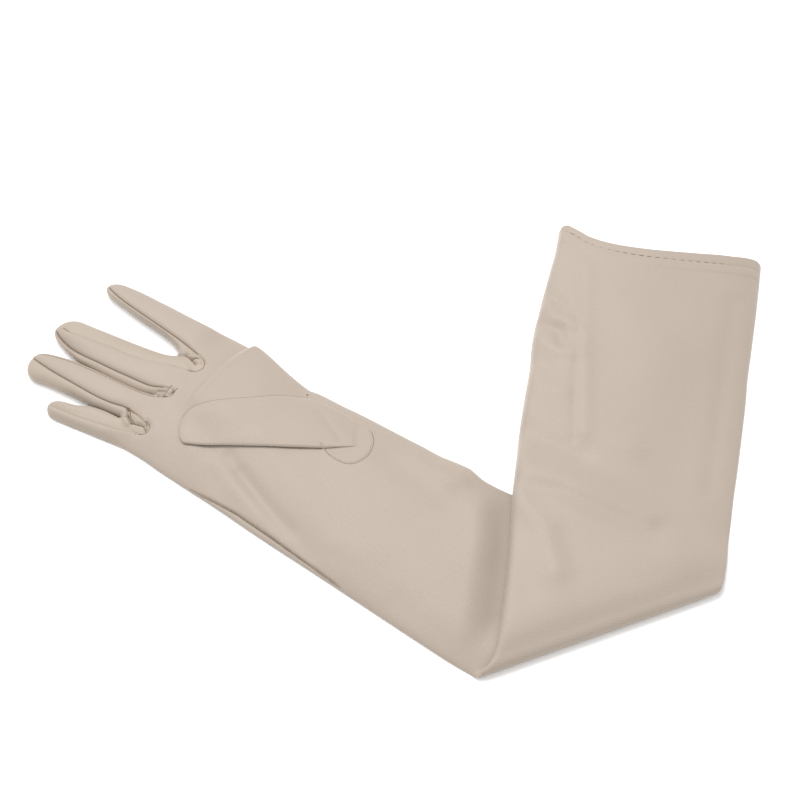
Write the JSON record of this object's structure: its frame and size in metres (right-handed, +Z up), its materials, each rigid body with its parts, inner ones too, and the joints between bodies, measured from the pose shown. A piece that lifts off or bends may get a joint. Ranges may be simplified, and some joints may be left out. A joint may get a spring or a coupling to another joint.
{
  "type": "five-finger evening glove",
  "caption": "Long satin evening glove with separate fingers, lying palm up with the thumb over the palm and the sleeve folded back at the elbow.",
  "frame": {"origin": "on the floor, under the middle of the glove's outline", "axes": "+X towards the elbow and mouth side, away from the fingertips; +Y from the elbow fold towards the mouth; +Z up"},
  "size_m": [0.3812, 0.2698, 0.0166],
  "materials": {
    "satin": "champagne stretch satin, fine diagonal twill, soft low sheen",
    "fork_satin": "the same satin, cut as strips and gathered at the crotches",
    "thread": "matching sewing thread"
  },
  "bodies": {
    "root": {"hand_and_sleeve": "satin", "index_finger": "satin", "middle_finger": "satin", "ring_finger": "satin", "little_finger": "satin", "index_middle_fork": "fork_satin", "middle_ring_fork": "fork_satin", "ring_little_fork": "fork_satin", "thumb": "satin", "mouth_hem": "satin"}
  },
  "joints": []
}
